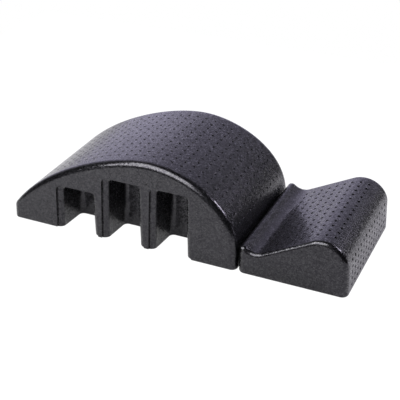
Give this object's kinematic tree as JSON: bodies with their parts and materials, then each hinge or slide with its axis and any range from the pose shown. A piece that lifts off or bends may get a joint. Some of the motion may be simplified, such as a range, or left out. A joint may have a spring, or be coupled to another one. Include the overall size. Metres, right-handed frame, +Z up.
{
  "type": "pilates spine corrector",
  "caption": "Foam pilates spine corrector: a long arched block with hand recesses in both flanks and a loose wedge block with ridge, valley and ramp.",
  "frame": {"origin": "on the floor, under the middle of the whole object's length and width", "axes": "+X along the length from the arc's tail towards the wedge, +Y across the width to the far flank, +Z up"},
  "size_m": [0.9806, 0.3896, 0.254],
  "materials": {
    "foam": "moulded expanded bead foam, fine grain, satin on rolled edges",
    "hook_tape": "woven nylon tape with hooks",
    "loop_tape": "woven nylon tape with loops"
  },
  "bodies": {
    "arc": {"arc_block": "foam", "hook_strip_near": "hook_tape", "hook_strip_far": "hook_tape"},
    "wedge": {"wedge_block": "foam", "loop_strip_near": "loop_tape", "loop_strip_far": "loop_tape"}
  },
  "joints": [
    {"name": "wedge_pull_off", "type": "slide", "parent": "arc", "child": "wedge", "axis": [1, 0, 0], "range_m": [0, 0.15]}
  ]
}
